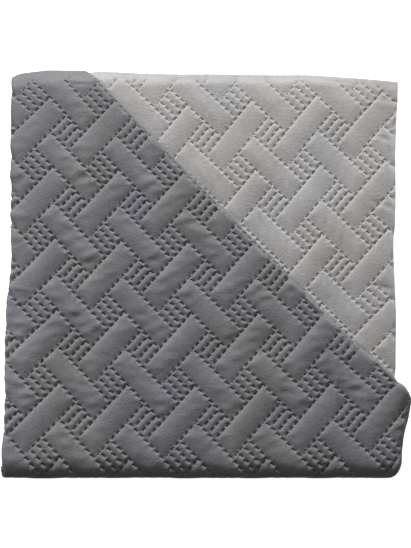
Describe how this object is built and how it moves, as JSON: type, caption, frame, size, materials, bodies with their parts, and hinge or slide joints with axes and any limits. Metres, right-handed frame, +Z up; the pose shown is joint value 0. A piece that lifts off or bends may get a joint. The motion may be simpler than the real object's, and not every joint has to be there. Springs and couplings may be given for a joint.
{
  "type": "folded quilted coverlet",
  "caption": "Reversible quilted coverlet in a basket-weave pattern, folded into a flat square pack with one corner of the top layer turned under to show the light reverse.",
  "frame": {"origin": "middle of the pack's footprint, on the surface it rests on", "axes": "+Z up, +Y towards the back hems, +X to the right seen from the front"},
  "size_m": [0.4034, 0.4082, 0.0547],
  "materials": {
    "cloth": "matt brushed polyester with a faint sheen, dark grey face and light warm grey reverse"
  },
  "bodies": {
    "root": {"coverlet": "cloth"}
  },
  "joints": []
}
